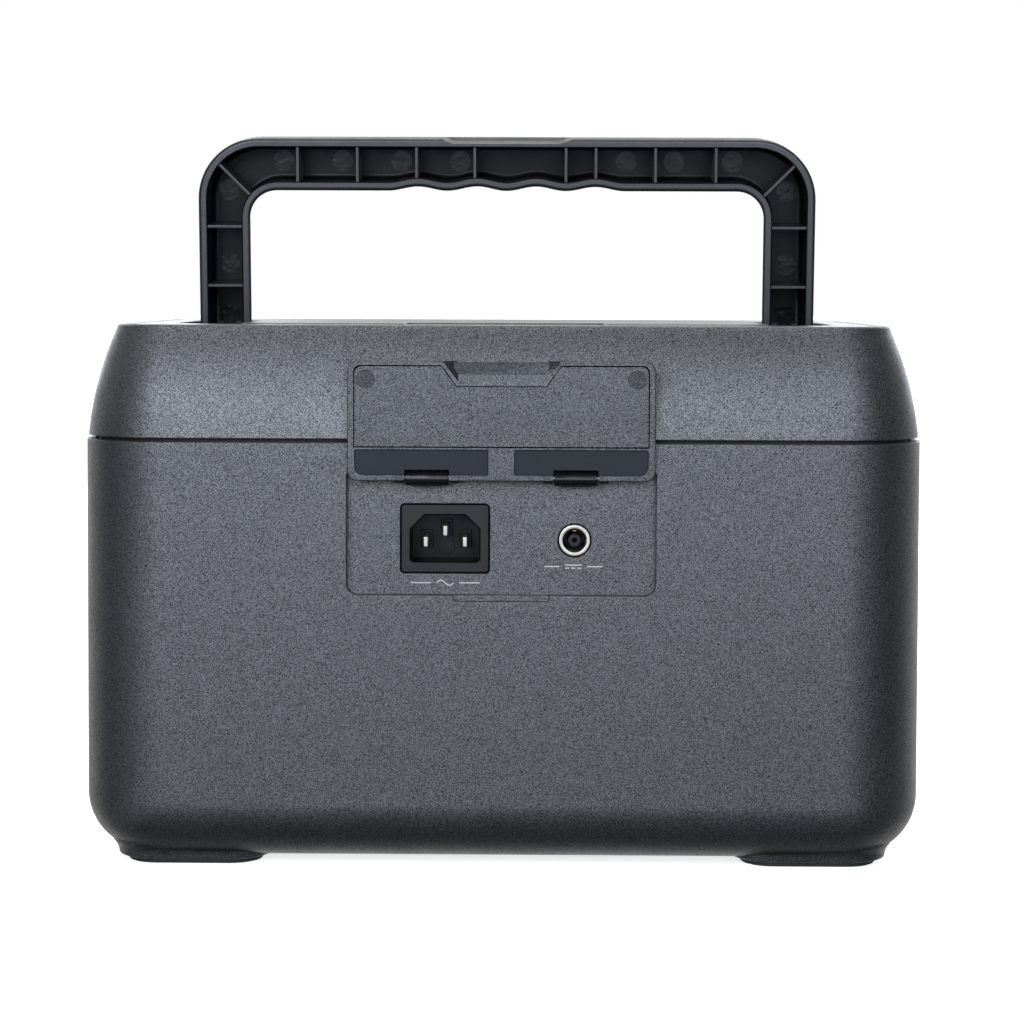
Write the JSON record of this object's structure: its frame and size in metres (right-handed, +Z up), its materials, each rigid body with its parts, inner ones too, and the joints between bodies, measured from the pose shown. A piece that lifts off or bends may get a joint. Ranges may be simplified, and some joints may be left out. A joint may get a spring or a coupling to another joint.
{
  "type": "portable power station",
  "caption": "Portable power station with a folding carry handle, a hinged rear charging-port door and a front socket panel.",
  "frame": {"origin": "centre of the overall box in plan, on the surface that the feet stand on", "axes": "+X to the right when the rear with the charging ports is faced, -Y towards that rear, +Z up"},
  "size_m": [0.305, 0.21, 0.2698],
  "materials": {
    "case": "dark slate plastic with a fine sparkling grain",
    "black_moulding": "satin black moulded plastic",
    "gloss_black": "gloss black",
    "rubber": "matt black rubber",
    "steel": "bright steel",
    "nickel": "nickel plate",
    "lamp_lens": "milky diffuser",
    "circuit_board": "solder mask",
    "cell_wrap": "blue film",
    "aluminium": "extruded",
    "winding": "varnished copper winding"
  },
  "bodies": {
    "housing": {"lower_housing": "case", "upper_housing": "case", "top_deck": "case", "port_panel": "case", "ac_inlet": "black_moulding", "dc_jack_core": "black_moulding", "vent_grille_left": "black_moulding", "vent_grille_right": "black_moulding", "front_panel": "black_moulding", "display_module": "black_moulding", "ac_socket_left": "black_moulding", "ac_socket_right": "black_moulding", "car_socket": "black_moulding", "battery_tray": "black_moulding", "fan_frame": "black_moulding", "hinge_lug_left": "gloss_black", "hinge_lug_right": "gloss_black", "display_window": "gloss_black", "seam_seal": "rubber", "foot_pad_rear_left": "rubber", "foot_pad_rear_right": "rubber", "foot_pad_front_left": "rubber", "foot_pad_front_right": "rubber", "hinge_pin_left": "steel", "hinge_pin_right": "steel", "handle_pin_left": "steel", "handle_pin_right": "steel", "usb_a_upper": "steel", "usb_a_lower": "steel", "usb_c_upper": "steel", "usb_c_lower": "steel", "ac_pin_line": "nickel", "ac_pin_neutral": "nickel", "ac_pin_earth": "nickel", "dc_jack_sleeve": "nickel", "lamp_lens": "lamp_lens", "control_board": "circuit_board", "battery_board": "circuit_board", "inverter_board": "circuit_board", "battery_cell_1": "cell_wrap", "battery_cell_2": "cell_wrap", "battery_cell_3": "cell_wrap", "battery_cell_4": "cell_wrap", "battery_cell_5": "cell_wrap", "battery_cell_6": "cell_wrap", "battery_cell_7": "cell_wrap", "battery_cell_8": "cell_wrap", "heat_sink": "aluminium", "inverter_transformer": "winding"},
    "carry_handle": {"handle": "black_moulding", "handle_bush_left": "nickel", "handle_bush_right": "nickel"},
    "charging_door": {"port_door": "case", "door_magnet_left": "steel", "door_magnet_right": "steel"},
    "power_key": {"power_button": "black_moulding"},
    "ac_key": {"ac_button": "black_moulding"},
    "dc_key": {"dc_button": "black_moulding"},
    "lamp_key": {"lamp_button": "black_moulding"},
    "fan_wheel": {"fan_rotor": "black_moulding"}
  },
  "joints": [
    {"name": "handle_fold", "type": "hinge", "parent": "housing", "child": "carry_handle", "pos_m": [0, 0.0215, 0.1855], "axis": [1, 0, 0], "range_deg": [0, 84]},
    {"name": "charging_door_hinge", "type": "hinge", "parent": "housing", "child": "charging_door", "pos_m": [0, -0.1015, 0.1421], "axis": [1, 0, 0], "range_deg": [0, 180]},
    {"name": "power_press", "type": "slide", "parent": "housing", "child": "power_key", "axis": [0, -1, 0], "range_m": [0, 0.0009], "stiffness_N_per_m": 400},
    {"name": "ac_press", "type": "slide", "parent": "housing", "child": "ac_key", "axis": [0, -1, 0], "range_m": [0, 0.0009], "stiffness_N_per_m": 400},
    {"name": "dc_press", "type": "slide", "parent": "housing", "child": "dc_key", "axis": [0, -1, 0], "range_m": [0, 0.0009], "stiffness_N_per_m": 400},
    {"name": "lamp_press", "type": "slide", "parent": "housing", "child": "lamp_key", "axis": [0, -1, 0], "range_m": [0, 0.0009], "stiffness_N_per_m": 400},
    {"name": "fan_spin", "type": "hinge", "parent": "housing", "child": "fan_wheel", "pos_m": [-0.1395, -0.0185, 0.105], "axis": [1, 0, 0], "continuous": true}
  ]
}
